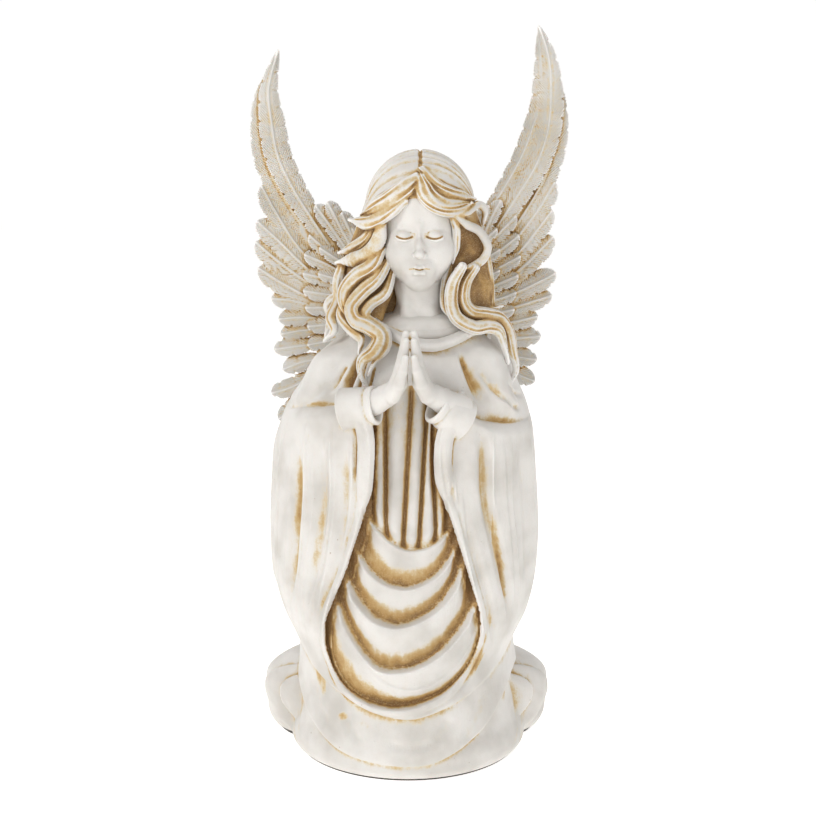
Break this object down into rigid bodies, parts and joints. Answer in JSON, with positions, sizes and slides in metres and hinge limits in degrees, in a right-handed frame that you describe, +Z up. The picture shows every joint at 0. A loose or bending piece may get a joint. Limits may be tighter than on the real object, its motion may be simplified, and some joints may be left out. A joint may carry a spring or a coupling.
{
  "type": "angel figurine",
  "caption": "Kneeling, praying angel statuette with raised feathered wings, long wavy hair and a draped robe, standing on a flat felted base.",
  "frame": {"origin": "on the table, at the middle of the felt under the base", "axes": "+Z up through the figure, -Y the way the figure faces, +X to the viewer's right when facing it"},
  "size_m": [0.1756, 0.1401, 0.401],
  "materials": {
    "robe_resin": "ivory paint with a brown antiquing wash left in the folds, satin",
    "head_resin": "ivory paint with a golden brown wash between the locks of hair, satin",
    "hands_resin": "smooth ivory paint, satin",
    "wing_resin": "ivory paint with a grey brown wash between the feathers, satin",
    "plug_resin": "unpainted cast resin",
    "pin_steel": "drawn wire",
    "felt": "pressed felt"
  },
  "bodies": {
    "root": {"robe_casting": "robe_resin", "head_casting": "head_resin", "praying_hands": "hands_resin", "wing_left": "wing_resin", "wing_right": "wing_resin", "base_plug": "plug_resin", "felt_base": "felt", "wing_pin_left_lower": "pin_steel", "wing_pin_left_upper": "pin_steel", "wing_pin_right_lower": "pin_steel", "wing_pin_right_upper": "pin_steel"}
  },
  "joints": []
}
